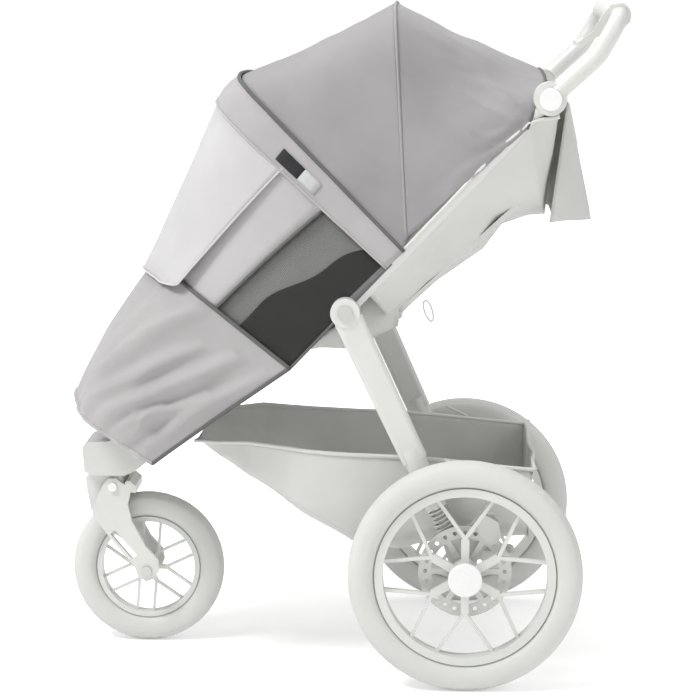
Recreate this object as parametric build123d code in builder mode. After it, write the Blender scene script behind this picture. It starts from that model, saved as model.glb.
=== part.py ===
"""Three-wheel jogging stroller with a canopy and a weather cover, in millimetres.

+X is forward, towards the front wheel, +Y is the left side and +Z is up. The origin is on the
ground under the middle of the stroller's overall length and width.
"""
import os
from math import cos, radians, sin

from build123d import *

# Driving dimensions. REAR_AXLE_X puts the origin under the middle of the overall length.
REAR_AXLE_X = -220.0
REAR_RADIUS = 200.0
REAR_TRACK = 588.0
FRONT_RADIUS = 138.0
WHEELBASE = 577.0
TYRE_SECTION = 46.0
FRAME_TUBE = 26.0
RUNNING_GAP = 0.05
SIDE_GAP = 0.3
FABRIC = 3.0
SIDES = {"left": 1, "right": -1}

os.makedirs("parts", exist_ok=True)


def at(ahead, side, height):
    """Give the point that lies ahead of the rear axle, to the left of centre and above ground."""
    return Vector(ahead + REAR_AXLE_X, side, height)


# Points of the side view: ahead of the rear axle and above ground.
FOLD_HINGE = (205.0, 647.0)
HANDLE_JOINT = (-136.0, 1006.0)
CANOPY_PIVOT = (103.0, 770.0)
RECLINE_PIVOT = (116.0, 632.0)
STEER_X = 650.0
FORK_PIVOT = (636.0, 294.0)
AXLE_HEIGHT = REAR_RADIUS

# Layers across the stroller, measured from the centre plane.
FRONT_TUBE_Y = 210.0
UPPER_TUBE_Y = 240.0
LEG_TOP_Y = 266.0
LEG_SLEEVE_Y = 240.0
HINGE_INNER = 209.0
HINGE_MIDDLE = 226.0
HINGE_OUTER = 254.0
HINGE_END = 277.0
HINGE_RADIUS = 24.0
ROTOR_Y = 260.5
HUB_INNER = 265.0
HUB_OUTER = 320.0
WHEEL_Y = REAR_TRACK / 2


def save(builder, name):
    """Label the finished piece and write it as a STEP file."""
    builder.part.label = name
    export_step(builder.part, f"parts/{name}.step")


def bar(start, end, radius, mode=Mode.ADD):
    """Add a round bar between two points to the piece being built."""
    run = Vector(*end) - Vector(*start)
    with BuildSketch(Plane(origin=start, z_dir=run)) as section:
        Circle(radius)
    extrude(section.sketch, amount=run.length, mode=mode)


def disc(centre, side, low, high, radius, mode=Mode.ADD):
    """Add a disc across the stroller, from low to high, on one side of the centre plane."""
    bar(at(centre[0], side * low, centre[1]), at(centre[0], side * high, centre[1]), radius, mode)


def plate(outline, low, high, mode=Mode.ADD):
    """Add a flat plate with a side-view outline, spanning low to high across the stroller."""
    plane = Plane(origin=(REAR_AXLE_X, high, 0), x_dir=(1, 0, 0), z_dir=(0, -1, 0))
    with BuildSketch(plane) as section:
        with BuildLine():
            Polyline(*outline, close=True)
        make_face()
    extrude(section.sketch, amount=high - low, mode=mode)


def mirrored(side, low, high):
    """Order a span across the stroller, from its lower to its higher Y."""
    return (low, high) if side > 0 else (-high, -low)


def along(start, end, distance):
    """Give the point a distance from start towards end, in the side view."""
    run = Vector(end[0] - start[0], end[1] - start[1])
    step = run.normalized() * distance
    return (start[0] + step.X, start[1] + step.Y)


# ---------------------------------------------------------------- wheels
def tyre(name, centre, radius, section, middle):
    """Make a pneumatic tyre: a ring of nearly round section with a flattened tread."""
    bead = radius - section
    middle_point = at(centre[0], middle, centre[1])
    with BuildPart() as ring:
        with BuildSketch(Plane(origin=middle_point, x_dir=(1, 0, 0), z_dir=(0, 0, 1))):
            with Locations((radius - section / 2, 0)):
                RectangleRounded(section, section + 1, section * 0.36)
        revolve(axis=Axis(middle_point, (0, 1, 0)))
        disc(centre, 1, middle - 9, middle + 9, bead + 5, Mode.SUBTRACT)
    save(ring, name)


def spoked_rim(name, centre, radius, middle, hub, apex, lean, bore, spoke):
    """Make a cast rim: hub barrel, six forked arms and a channel ring, with a blind axle bore."""
    side = 1 if middle >= 0 else -1
    low, high, bore_end = hub
    well = radius - spoke["depth"]
    wheel_plane = Plane(origin=at(centre[0], middle, centre[1]), x_dir=(1, 0, 0), z_dir=(0, -1, 0))
    with BuildPart() as rim:
        disc(centre, side, low, high, spoke["hub_radius"])
        with BuildSketch(wheel_plane) as ring:
            Circle(radius)
            Circle(well, mode=Mode.SUBTRACT)
        extrude(ring.sketch, amount=spoke["half_width"], both=True)
        disc(centre, 1, middle - 9, middle + 9, radius + 4.9)
        disc(centre, 1, middle - 9.5, middle + 9.5, well, Mode.SUBTRACT)
        disc(centre, side, low, high, spoke["hub_radius"])
        with BuildSketch(wheel_plane) as arms:
            for turn in range(6):
                heading = radians(lean + 60 * turn)
                fork = (apex * cos(heading), apex * sin(heading))
                with BuildLine() as stem:
                    Line((0, 0), fork)
                trace(stem.line, line_width=spoke["stem"])
                for spread in (-20, 20):
                    reach = radians(lean + 60 * turn + spread)
                    tip = ((well + 2) * cos(reach), (well + 2) * sin(reach))
                    with BuildLine() as blade:
                        Line(fork, tip)
                    trace(blade.line, line_width=spoke["blade"])
        extrude(arms.sketch, amount=spoke["thick"] / 2, both=True)
        disc(centre, side, low - 1, bore_end, bore, Mode.SUBTRACT)
    save(rim, name)


REAR_SPOKE = {
    "hub_radius": 24.0, "half_width": 15.0, "depth": 14.0, "stem": 14.0, "blade": 6.0, "thick": 9.0,
}
FRONT_SPOKE = {
    "hub_radius": 13.0, "half_width": 13.0, "depth": 9.0, "stem": 8.0, "blade": 4.5, "thick": 7.0,
}
REAR_RIM_RADIUS = REAR_RADIUS - TYRE_SECTION
FRONT_SECTION = 44.0
FRONT_RIM_RADIUS = FRONT_RADIUS - FRONT_SECTION
REAR_AXLE = (0.0, AXLE_HEIGHT)
FRONT_AXLE = (WHEELBASE, FRONT_RADIUS)
REAR_STUB = 6.0
FRONT_STUB = 5.0
ROTOR_RADIUS = 80.0

for label, side in SIDES.items():
    tyre(f"rear_tyre_{label}", REAR_AXLE, REAR_RADIUS, TYRE_SECTION, side * WHEEL_Y)
    spoked_rim(
        f"rear_rim_{label}", REAR_AXLE, REAR_RIM_RADIUS, side * WHEEL_Y, (HUB_INNER, HUB_OUTER, 316.0),
        65.0, 30.0, REAR_STUB + RUNNING_GAP, REAR_SPOKE,
    )
    with BuildPart() as rotor:
        disc(REAR_AXLE, side, ROTOR_Y, ROTOR_Y + 2.5, ROTOR_RADIUS)
        disc(REAR_AXLE, side, ROTOR_Y, ROTOR_Y + 2.5, 58.0, Mode.SUBTRACT)
        for turn in range(6):
            heading = radians(60 * turn)
            start = at(0, side * (ROTOR_Y + 1.25), AXLE_HEIGHT)
            reach = Vector(60 * cos(heading), 0, 60 * sin(heading))
            with BuildSketch(Plane(origin=start + reach * 0.33, x_dir=(0, 1, 0), z_dir=reach)) as leg:
                Rectangle(2.5, 10)
            extrude(leg.sketch, amount=40)
        disc(REAR_AXLE, side, ROTOR_Y, HUB_INNER, 22.0)
        disc(REAR_AXLE, side, ROTOR_Y - 1, HUB_INNER + 1, REAR_STUB + 1.0, Mode.SUBTRACT)
        for turn in range(24):
            heading = radians(15 * turn)
            hole = (68 * cos(heading), AXLE_HEIGHT + 68 * sin(heading))
            disc(hole, side, ROTOR_Y - 1, ROTOR_Y + 4, 3.6, Mode.SUBTRACT)
    save(rotor, f"brake_rotor_{label}")
    with BuildPart() as cap:
        disc(REAR_AXLE, side, HUB_OUTER, HUB_OUTER + 9, 29.0)
        fillet(cap.edges().filter_by(GeomType.CIRCLE).group_by(Axis.Y)[-1 if side > 0 else 0], 3.0)
    save(cap, f"hub_cap_{label}")

tyre("front_tyre", FRONT_AXLE, FRONT_RADIUS, FRONT_SECTION, 0.0)
spoked_rim(
    "front_rim", FRONT_AXLE, FRONT_RIM_RADIUS, 0.0, (-28.0, 28.0, 29.0), 31.0, 5.0,
    FRONT_STUB + RUNNING_GAP, FRONT_SPOKE,
)

# ---------------------------------------------------------------- front suspension fork
FORK_INNER = 34.3
FORK_THICK = 11.0
STEM_RADIUS = 12.0
CROWN_LOW = 316.0
BOLT_RADIUS = 6.0
FORK_OUTER = FORK_INNER + FORK_THICK

with BuildPart() as fork:
    blade = [
        (652, 300), (644, 309), (630, 309), (618, 300), (606, 296), (604, 282), (609, 262),
        (602, 231), (578, 184), (556, 160), (553, 140), (560, 125), (577, 119), (592, 127),
        (598, 146), (642, 199), (672, 240), (674, 252), (664, 276),
    ]
    slot = [(633, 214), (641, 206), (602, 160), (593, 166)]
    bridge = [(594, 283), (594, 296), (604, 305), (613, 303), (611, 285)]
    for low, high in ((FORK_INNER, FORK_OUTER), (-FORK_OUTER, -FORK_INNER)):
        plate(blade, low, high)
        plate(slot, low - 1, high + 1, Mode.SUBTRACT)
    plate(bridge, -FORK_OUTER, FORK_OUTER)
    disc(FORK_PIVOT, 1, -60, 60, BOLT_RADIUS, Mode.SUBTRACT)
    disc(FRONT_AXLE, 1, -60, 60, FRONT_STUB, Mode.SUBTRACT)
save(fork, "front_fork")

with BuildPart() as axle:
    disc(FRONT_AXLE, 1, -FORK_OUTER, FORK_OUTER, FRONT_STUB)
    disc(FRONT_AXLE, 1, FORK_OUTER, FORK_OUTER + 5, 10.0)
    disc(FRONT_AXLE, 1, -FORK_OUTER - 5, -FORK_OUTER, 10.0)
save(axle, "front_axle")

HEAD_TOP = CROWN_LOW - SIDE_GAP
with BuildPart() as head:
    head_outline = [
        (622, 284), (640, 277), (663, 262), (671, 248), (677, 248), (684, 285), (686, 308),
        (680, HEAD_TOP), (626, HEAD_TOP), (619, 308), (618, 292),
    ]
    plate(head_outline, -34.0, 34.0)
    bar(at(STEER_X, 0, 300), at(STEER_X, 0, 372), STEM_RADIUS)
    disc(FORK_PIVOT, 1, -40, 40, BOLT_RADIUS + RUNNING_GAP, Mode.SUBTRACT)
save(head, "swivel_head")

with BuildPart() as bolt:
    disc(FORK_PIVOT, 1, -FORK_OUTER, FORK_OUTER, BOLT_RADIUS)
    disc(FORK_PIVOT, 1, FORK_OUTER, FORK_OUTER + 4.7, 8.0)
    disc(FORK_PIVOT, 1, -FORK_OUTER - 4.7, -FORK_OUTER, 8.0)
save(bolt, "fork_bolt")

# ---------------------------------------------------------------- front frame
TUBE_RADIUS = FRAME_TUBE / 2
TUBE_END = (612.0, 372.0)
TUBE_END_Y = 34.0
CROWN_TOP = 392.0
KNOB_RADIUS = 9.0
KNOB_LOW = 373.0


def front_tube_bar(side, mode=Mode.ADD):
    """Add, or take away, the straight front tube on one side."""
    root = at(FOLD_HINGE[0], side * FRONT_TUBE_Y, FOLD_HINGE[1])
    tip = at(TUBE_END[0], side * TUBE_END_Y, TUBE_END[1])
    bar(root, tip, TUBE_RADIUS, mode)


for label, side in SIDES.items():
    outer = mirrored(side, HINGE_MIDDLE - SIDE_GAP, HINGE_MIDDLE + 60)
    with BuildPart() as tube:
        front_tube_bar(side)
        plate([(0, 0), (0, 900), (900, 900), (900, 0)], *outer, Mode.SUBTRACT)
        disc(FOLD_HINGE, side, HINGE_INNER - 6, HINGE_MIDDLE - SIDE_GAP, HINGE_RADIUS)
        disc(FOLD_HINGE, side, HINGE_INNER - 20, HINGE_END, 6.0, Mode.SUBTRACT)
        disc(FOLD_HINGE, side, HINGE_INNER - 20, HINGE_INNER - 6, 10.0, Mode.SUBTRACT)
    save(tube, f"front_tube_{label}")

with BuildPart() as pins:
    for side in SIDES.values():
        disc(FOLD_HINGE, side, HINGE_INNER - 6, HINGE_END + 1, 6.0)
        disc(FOLD_HINGE, side, HINGE_INNER - 10, HINGE_INNER - 6, 10.0)
        disc(FOLD_HINGE, side, HINGE_END + SIDE_GAP, HINGE_END + 4, 13.0)
save(pins, "hinge_pins")

with BuildPart() as crown:
    crown_outline = [
        (566, 366), (572, 342), (590, 327), (614, CROWN_LOW), (674, CROWN_LOW), (686, 324),
        (689, 368), (682, 377), (640, 379), (622, CROWN_TOP), (590, CROWN_TOP),
    ]
    plate(crown_outline, -52.0, 52.0)
    bar(at(STEER_X, 0, CROWN_LOW - 1), at(STEER_X, 0, KNOB_LOW), STEM_RADIUS + RUNNING_GAP, Mode.SUBTRACT)
    bar(at(STEER_X, 0, KNOB_LOW), at(STEER_X, 0, 400), KNOB_RADIUS + RUNNING_GAP, Mode.SUBTRACT)
    for side in SIDES.values():
        front_tube_bar(side, Mode.SUBTRACT)
save(crown, "front_crown")

FOOT_START = 440.0
FOOT_END = 575.0


def tube_height(ahead):
    """Give the height of the front tubes' centre line at a distance ahead of the rear axle."""
    share = (ahead - FOLD_HINGE[0]) / (TUBE_END[0] - FOLD_HINGE[0])
    return FOLD_HINGE[1] + share * (TUBE_END[1] - FOLD_HINGE[1])


def tube_side(ahead):
    """Give the front tubes' distance from the centre plane at a distance ahead of the rear axle."""
    share = (ahead - FOLD_HINGE[0]) / (TUBE_END[0] - FOLD_HINGE[0])
    return FRONT_TUBE_Y + share * (TUBE_END_Y - FRONT_TUBE_Y)


FOOT_DROP = 2.0
FOOT_RISE = 17.0
with BuildPart() as footrest:
    low_end = tube_height(FOOT_END)
    high_end = tube_height(FOOT_START)
    plate(
        [
            (FOOT_START, high_end - FOOT_DROP), (FOOT_END, low_end - FOOT_DROP),
            (FOOT_END, low_end + FOOT_RISE), (FOOT_START, high_end + FOOT_RISE),
        ],
        -150, 150,
    )
    back = at(FOOT_START - 1, tube_side(FOOT_START), 0)
    front = at(FOOT_END + 1, tube_side(FOOT_END), 0)
    with BuildSketch() as shape:
        with BuildLine():
            Polyline((back.X, -back.Y), (front.X, -front.Y), (front.X, front.Y), (back.X, back.Y), close=True)
        make_face()
    extrude(shape.sketch, amount=900, mode=Mode.INTERSECT)
    for side in SIDES.values():
        front_tube_bar(side, Mode.SUBTRACT)
save(footrest, "footrest")

SEAT_HALF = 202.5
SEAT_WALL = 2.0
with BuildPart() as seat_pan:
    plate([(122, 600), (200, 562), (276, 570), (282, 577), (204, 574), (126, 612)], -SEAT_HALF, SEAT_HALF)
    seat_side = [
        (117, 605), (201, 558), (277, 569), (283, 576), (262, 588), (205, 627), (176, 640), (130, 652),
    ]
    for side in SIDES.values():
        plate(seat_side, *mirrored(side, SEAT_HALF - SEAT_WALL, SEAT_HALF))
save(seat_pan, "seat_pan")

CROSS_AHEAD = 312.0
with BuildPart() as cross:
    cross_side = tube_side(CROSS_AHEAD)
    cross_height = tube_height(CROSS_AHEAD)
    bar(at(CROSS_AHEAD, -cross_side, cross_height), at(CROSS_AHEAD, cross_side, cross_height), 9.0)
    for side in SIDES.values():
        front_tube_bar(side, Mode.SUBTRACT)
save(cross, "seat_cross_tube")

# ---------------------------------------------------------------- upper frame and handle
HOUSING_LOW = 222.0
HOUSING_HIGH = 247.0
HANDLE_HIGH = 268.0
HANDLE_HUB_RADIUS = 27.5
BUTTON_RADIUS = 19.0
BOW_HUB_RADIUS = 15.0
MID_BOW_Y = (212.0, 218.5)
FRONT_BOW_Y = (205.0, 211.7)

for label, side in SIDES.items():
    with BuildPart() as tube:
        foot = at(FOLD_HINGE[0], side * UPPER_TUBE_Y, FOLD_HINGE[1])
        joint = at(HANDLE_JOINT[0], side * UPPER_TUBE_Y, HANDLE_JOINT[1])
        bar(foot, joint, TUBE_RADIUS)
        disc(HANDLE_JOINT, side, HOUSING_LOW, HOUSING_HIGH + 20, HANDLE_HUB_RADIUS + 0.6, Mode.SUBTRACT)
        disc(FOLD_HINGE, side, HINGE_MIDDLE, HINGE_OUTER, HINGE_RADIUS)
        disc(FOLD_HINGE, side, HINGE_MIDDLE - 5, HINGE_OUTER + 5, 6.0 + RUNNING_GAP, Mode.SUBTRACT)
        disc(CANOPY_PIVOT, side, 218.8, 232, BOW_HUB_RADIUS)
        disc(CANOPY_PIVOT, side, 203.0, 219, 4.0)
    save(tube, f"upper_tube_{label}")
    with BuildPart() as housing:
        disc(HANDLE_JOINT, side, HOUSING_LOW, HOUSING_HIGH, HANDLE_HUB_RADIUS + 0.6)
        disc(HANDLE_JOINT, side, HOUSING_HIGH, HOUSING_HIGH + 8, 9.0)
    save(housing, f"handle_housing_{label}")

with BuildPart() as cross:
    disc(HANDLE_JOINT, 1, -HOUSING_LOW, HOUSING_LOW, 9.0)
save(cross, "upper_cross_tube")

HANDLE_Y = 257.0
GRIP = (-250.0, 1142.0)
HANDLE_BEND = (-214.0, 1078.0)
ARM_RADIUS = 15.0
GRIP_RADIUS = 22.0
GRIP_HALF = 190.0
with BuildPart() as handlebar:
    arm = [(HANDLE_JOINT[0] - 8, HANDLE_JOINT[1] + 8), HANDLE_BEND, GRIP]
    route = [at(ahead, -HANDLE_Y, height) for ahead, height in arm]
    route += [at(ahead, HANDLE_Y, height) for ahead, height in reversed(arm)]
    with BuildLine() as path:
        FilletPolyline(*route, radius=[60.0, 42.0, 42.0, 60.0])
    with BuildSketch(Plane(origin=route[0], z_dir=path.line @ 0.01 - path.line @ 0)) as section:
        Circle(ARM_RADIUS)
    sweep(section.sketch, path=path.line)
    for side in SIDES.values():
        disc(HANDLE_JOINT, side, HOUSING_HIGH + SIDE_GAP, HANDLE_HIGH, HANDLE_HUB_RADIUS)
        disc(HANDLE_JOINT, side, HOUSING_LOW, HOUSING_HIGH + SIDE_GAP, HANDLE_HUB_RADIUS + 1.5, Mode.SUBTRACT)
        disc(HANDLE_JOINT, side, HOUSING_HIGH, HOUSING_HIGH + 8.3, 9.0 + RUNNING_GAP, Mode.SUBTRACT)
        disc(HANDLE_JOINT, side, HOUSING_HIGH + 12, HANDLE_HIGH + 5, BUTTON_RADIUS + 0.3, Mode.SUBTRACT)
save(handlebar, "handlebar")

with BuildPart() as grip:
    bar(at(GRIP[0], -GRIP_HALF, GRIP[1]), at(GRIP[0], GRIP_HALF, GRIP[1]), GRIP_RADIUS)
    fillet(grip.edges().filter_by(GeomType.CIRCLE), 6.0)
    bar(at(GRIP[0], -300, GRIP[1]), at(GRIP[0], 300, GRIP[1]), ARM_RADIUS, Mode.SUBTRACT)
save(grip, "handle_grip")

for label, side in SIDES.items():
    with BuildPart() as button:
        disc(HANDLE_JOINT, side, HOUSING_HIGH + 16.5, HANDLE_HIGH + 6, BUTTON_RADIUS)
        fillet(button.edges().filter_by(GeomType.CIRCLE).group_by(Axis.Y)[-1 if side > 0 else 0], 2.0)
    save(button, f"handle_button_{label}")

LEVER_PIVOT = (-219.0, 1118.0)
LEVER_Y = 201.0
with BuildPart() as clamp:
    clamp_outline = [
        (-269, 1132), (-250, 1120), (-212, 1106), (-209, 1120), (-214, 1130), (-236, 1160), (-258, 1163),
    ]
    plate(clamp_outline, LEVER_Y - 9, LEVER_Y + 9)
    bar(at(GRIP[0], 150, GRIP[1]), at(GRIP[0], 300, GRIP[1]), ARM_RADIUS, Mode.SUBTRACT)
    plate([(-235, 1100), (-235, 1133), (-200, 1133), (-200, 1100)], LEVER_Y - 4, LEVER_Y + 4, Mode.SUBTRACT)
    disc(LEVER_PIVOT, 1, LEVER_Y - 9, LEVER_Y + 9, 3.0)
save(clamp, "brake_lever_clamp")

with BuildPart() as lever:
    lever_outline = [
        (-225, 1120), (-221, 1124), (-214, 1121), (-182, 1097), (-181, 1091), (-186, 1088), (-218, 1111),
        (-224, 1114),
    ]
    plate(lever_outline, LEVER_Y - 3.7, LEVER_Y + 3.7)
    plate([(-196, 1102), (-182, 1097), (-181, 1091), (-186, 1088), (-200, 1097)], 60, LEVER_Y + 3.7)
    disc(LEVER_PIVOT, 1, LEVER_Y - 5, LEVER_Y + 5, 3.0 + RUNNING_GAP, Mode.SUBTRACT)
save(lever, "brake_lever")

# ---------------------------------------------------------------- rear legs and suspension
SLEEVE_START = 262.0
SLEEVE_END = 374.0
LEG_WIDTH = 50.0
LEG_THICK = 21.0
SLEEVE_RADIUS = 19.0
STRUT_RADIUS = 11.0
STRUT_TRAVEL = 12.0


def leg_point(distance, across):
    """Give a point on the leg's centre line, a distance below the fold hinge."""
    place = along(FOLD_HINGE, REAR_AXLE, distance)
    return at(place[0], across, place[1])


for label, side in SIDES.items():
    sleeve_y = side * LEG_SLEEVE_Y
    with BuildPart() as leg:
        top = leg_point(12, side * LEG_TOP_Y)
        bottom = leg_point(SLEEVE_START + 20, sleeve_y)
        with BuildSketch(Plane(origin=top, x_dir=(0, 1, 0), z_dir=bottom - top)) as upper_end:
            RectangleRounded(LEG_THICK, LEG_WIDTH, 8.0)
        with BuildSketch(Plane(origin=bottom, x_dir=(0, 1, 0), z_dir=bottom - top)) as lower_end:
            RectangleRounded(LEG_THICK + 6, LEG_WIDTH - 6, 8.0)
        loft([upper_end.sketch, lower_end.sketch])
        disc(FOLD_HINGE, side, HINGE_OUTER + SIDE_GAP, HINGE_END, LEG_WIDTH / 2)
        bar(leg_point(SLEEVE_START, sleeve_y), leg_point(SLEEVE_END, sleeve_y), SLEEVE_RADIUS)
        disc(FOLD_HINGE, side, HINGE_OUTER - 30, HINGE_END + 5, 6.0 + RUNNING_GAP, Mode.SUBTRACT)
        disc(FOLD_HINGE, side, HINGE_OUTER - 30, HINGE_OUTER + SIDE_GAP, 60.0, Mode.SUBTRACT)
        bore_start = leg_point(SLEEVE_END - 60, sleeve_y)
        bore_end = leg_point(SLEEVE_END + 1, sleeve_y)
        bar(bore_start, bore_end, STRUT_RADIUS + RUNNING_GAP, Mode.SUBTRACT)
    save(leg, f"rear_leg_{label}")
    with BuildPart() as strut:
        bar(leg_point(SLEEVE_END - 60 + STRUT_TRAVEL + 4, sleeve_y), leg_point(440, sleeve_y), STRUT_RADIUS)
        bar(leg_point(424, sleeve_y), leg_point(440, sleeve_y), SLEEVE_RADIUS)
        low, high = mirrored(side, LEG_SLEEVE_Y - 9, LEG_SLEEVE_Y + 9)
        dropout = [(8, 262), (40, 248), (34, 232), (22, 190), (8, 178), (-12, 180), (-22, 192), (-20, 214)]
        plate(dropout, low, high)
        plate([(-58, 272), (-50, 296), (-30, 296), (8, 262), (0, 236), (-20, 214)], low, high)
        disc(REAR_AXLE, side, LEG_SLEEVE_Y - 20, LEG_SLEEVE_Y + 20, 10.0, Mode.SUBTRACT)
    save(strut, f"rear_strut_{label}")

with BuildPart() as springs:
    for side in SIDES.values():
        bar(leg_point(SLEEVE_END + 0.3, side * LEG_SLEEVE_Y), leg_point(423.7, side * LEG_SLEEVE_Y), 18.0)
    for side in SIDES.values():
        coil_top = leg_point(SLEEVE_END, side * LEG_SLEEVE_Y)
        bar(coil_top, leg_point(430, side * LEG_SLEEVE_Y), 13.0, Mode.SUBTRACT)
save(springs, "suspension_springs")

with BuildPart() as calipers:
    for side in SIDES.values():
        low, high = mirrored(side, LEG_SLEEVE_Y + 9, ROTOR_Y + 8.0)
        plate([(-62, 262), (-56, 288), (-34, 300), (-18, 286), (-26, 262), (-48, 246)], low, high)
        disc(REAR_AXLE, side, ROTOR_Y - 1.0, ROTOR_Y + 3.5, ROTOR_RADIUS + 1.5, Mode.SUBTRACT)
save(calipers, "brake_calipers")

with BuildPart() as axle:
    bar(at(0, -LEG_SLEEVE_Y - 12, AXLE_HEIGHT), at(0, LEG_SLEEVE_Y + 12, AXLE_HEIGHT), 10.0)
    bar(at(0, -315.7, AXLE_HEIGHT), at(0, 315.7, AXLE_HEIGHT), REAR_STUB)
save(axle, "rear_axle_tube")

with BuildPart() as pedal:
    bar(at(0, 60, AXLE_HEIGHT), at(0, 130, AXLE_HEIGHT), 15.0)
    plate([(-8, 186), (-84, 190), (-88, 197), (-82, 200), (-8, 205)], 62, 128)
    bar(at(0, 50, AXLE_HEIGHT), at(0, 140, AXLE_HEIGHT), 10.0 + RUNNING_GAP, Mode.SUBTRACT)
save(pedal, "parking_brake_pedal")

with BuildPart() as knob:
    bar(at(STEER_X, 0, 374), at(STEER_X, 0, 399), KNOB_RADIUS)
    fillet(knob.edges().group_by(Axis.Z)[-1], 2.0)
save(knob, "swivel_lock_knob")

with BuildPart() as cables:
    for side in SIDES.values():
        cable_y = side * (LEG_SLEEVE_Y + 12)
        route = [at(-34, cable_y, 301), at(-32, cable_y, 335), at(-8, cable_y, 372), at(36, cable_y, 392)]
        with BuildLine() as path:
            FilletPolyline(*route, radius=[45.0, 45.0])
        with BuildSketch(Plane(origin=route[0], z_dir=path.line @ 0.01 - path.line @ 0)) as section:
            Circle(2.5)
        sweep(section.sketch, path=path.line)
save(cables, "brake_cables")

# ---------------------------------------------------------------- canopy and weather cover
MID_TOP = (126.0, 1159.0)
FRONT_TOP = (387.0, 1033.0)
REAR_TOP = (-131.0, 1040.0)
REAR_LOW = (-100.0, 955.0)
CANOPY_HALF_LOW = 258.0
CANOPY_HALF_TOP = 192.0


def bow(name, top, low, high):
    """Make a canopy bow: an arch with a hub at each foot that turns on the canopy pin."""
    foot = along(CANOPY_PIVOT, top, BOW_HUB_RADIUS - 3)
    crest = along(CANOPY_PIVOT, top, Vector(top[0] - CANOPY_PIVOT[0], top[1] - CANOPY_PIVOT[1]).length - 10)
    middle = (low + high) / 2
    half_top = CANOPY_HALF_TOP - 14
    with BuildPart() as arch:
        corners = [
            at(foot[0], -middle, foot[1]), at(crest[0], -half_top, crest[1]),
            at(crest[0], half_top, crest[1]), at(foot[0], middle, foot[1]),
        ]
        with BuildLine() as path:
            FilletPolyline(*corners, radius=50.0)
        with BuildSketch(Plane(origin=corners[0], z_dir=corners[1] - corners[0])) as section:
            Circle((high - low) / 2 - 0.2)
        sweep(section.sketch, path=path.line)
        for side in SIDES.values():
            disc(CANOPY_PIVOT, side, low, high, BOW_HUB_RADIUS)
            disc(CANOPY_PIVOT, side, low - 1, high + 1, 4.0 + RUNNING_GAP, Mode.SUBTRACT)
    save(arch, name)


bow("canopy_mid_bow", MID_TOP, *MID_BOW_Y)
bow("canopy_front_bow", FRONT_TOP, *FRONT_BOW_Y)


def side_plane(points, inset, side):
    """Give the plane of a fabric side wall, through three points and moved inwards by inset."""
    first, second, third = (at(ahead, side * (across - inset), height) for ahead, across, height in points)
    normal = (second - first).cross(third - first)
    if normal.Y * side < 0:
        normal = normal * -1
    return Plane(origin=first, z_dir=normal)


def fabric_shell(name, outline, hollow, wall_points, half=270.0):
    """Make an open fabric shell: an outline across the stroller between leaning side walls."""
    with BuildPart() as inside:
        plate(hollow, -half, half)
        for side in SIDES.values():
            split(bisect_by=side_plane(wall_points, FABRIC, side), keep=Keep.BOTTOM)
    with BuildPart() as shell:
        plate(outline, -half, half)
        for side in SIDES.values():
            split(bisect_by=side_plane(wall_points, 0, side), keep=Keep.BOTTOM)
        add(inside.part, mode=Mode.SUBTRACT)
    save(shell, name)


fabric_shell(
    "canopy_front_panel",
    [(104, 772), MID_TOP, FRONT_TOP],
    [(95, 740), (92, 1172), (126, 1155), (383, 1031), (420, 1010)],
    [(103, CANOPY_HALF_LOW, 770), (126, CANOPY_HALF_TOP, 1159), (387, CANOPY_HALF_TOP, 1033)],
)
fabric_shell(
    "canopy_rear_panel",
    [(101, 774), REAR_LOW, (-103, 1000), (-110, 1030), REAR_TOP, (124, 1159)],
    [(128, 740), (-140, 930), (-144, 1032), (-129, 1036.5), (124, 1155), (140, 1160)],
    [(103, CANOPY_HALF_LOW, 770), (126, CANOPY_HALF_TOP, 1159), (-120, CANOPY_HALF_LOW, 990)],
)
fabric_shell(
    "weather_cover",
    [
        (112, 748), (391, 1029), (444, 1004), (434, 978), (560, 704), (715, 470), (700, 452), (548, 368),
        (387, 482), (300, 546), (236, 612), (236, 662), (212, 684), (172, 684),
    ],
    [
        (100, 745), (389, 1026), (440, 1002), (431, 978), (557, 702), (711, 469), (699, 430), (548, 340),
        (387, 454), (300, 518), (190, 600),
    ],
    [(108, 265, 748), (392, CANOPY_HALF_TOP, 1031), (548, 215, 368)],
)
with BuildPart() as flap:
    plate([(446, 974), (443, 973), (563, 709), (566, 710)], -150, 150)
save(flap, "sun_flap")

# ---------------------------------------------------------------- seat
TUB_HALF = 200.0
RECLINE_RADIUS = 6.0
with BuildPart() as tub:
    underside = [(116, 604), (55, 670), (-32, 730), (-64, 773), (-108, 788), (-138, 788)]
    rim_line = [(-166, 985), (-150, 985), (-118, 950), (84, 738), (128, 645)]
    plate(underside + rim_line, -TUB_HALF, TUB_HALF)
    plate(
        [
            (119, 610), (57, 675), (-30, 735), (-62, 778), (-107, 793), (-134, 793), (-158, 960),
            (-162, 1000), (-130, 1010), (140, 760), (160, 640),
        ],
        -TUB_HALF + FABRIC, TUB_HALF - FABRIC, Mode.SUBTRACT,
    )
    for side in SIDES.values():
        disc(RECLINE_PIVOT, side, 185, TUB_HALF - FABRIC, 11.0)
        disc(RECLINE_PIVOT, side, 184, 193, RECLINE_RADIUS + RUNNING_GAP, Mode.SUBTRACT)
save(tub, "seat_tub")

FLAP_HALF = 168.0
with BuildPart() as rear_flap:
    plate([(-167.5, 992), (-172, 992), (-213, 799), (-210, 793), (-139.2, 789)], -FLAP_HALF, FLAP_HALF)
    plate(
        [(-100, 797), (-209.5, 800), (-169.5, 988), (-100, 988)],
        -FLAP_HALF + FABRIC, FLAP_HALF - FABRIC, Mode.SUBTRACT,
    )
save(rear_flap, "rear_flap")

BOARD_HALF = 180.0
with BuildPart() as board:
    plate([(113, 634), (-88, 819), (-136, 958), (-129, 960), (-82, 824), (118, 640)], -BOARD_HALF, BOARD_HALF)
    disc(RECLINE_PIVOT, 1, -192, 192, RECLINE_RADIUS)
save(board, "backrest_board")

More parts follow.
